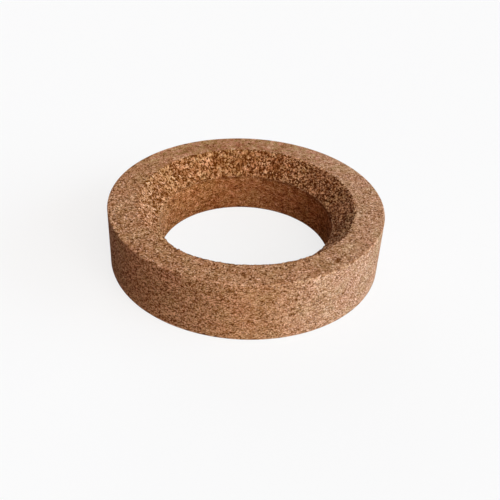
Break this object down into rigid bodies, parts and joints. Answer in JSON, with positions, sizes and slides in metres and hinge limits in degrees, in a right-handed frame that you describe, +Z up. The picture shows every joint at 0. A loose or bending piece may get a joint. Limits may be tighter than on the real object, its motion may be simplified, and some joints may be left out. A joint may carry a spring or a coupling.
{
  "type": "cork ring",
  "caption": "Flat cork ring with a straight bore and a conical seat that opens upwards, a bench stand for a round-bottomed flask.",
  "frame": {"origin": "middle of the underside, on the ring's axis", "axes": "+Z up along the ring's axis, from the underside to the mouth of the seat; the ring is the same all round"},
  "size_m": [0.1396, 0.1396, 0.0318],
  "materials": {
    "cork": "matt agglomerated cork, sanded, with a coarser seat"
  },
  "bodies": {
    "root": {"cork_ring": "cork"}
  },
  "joints": []
}
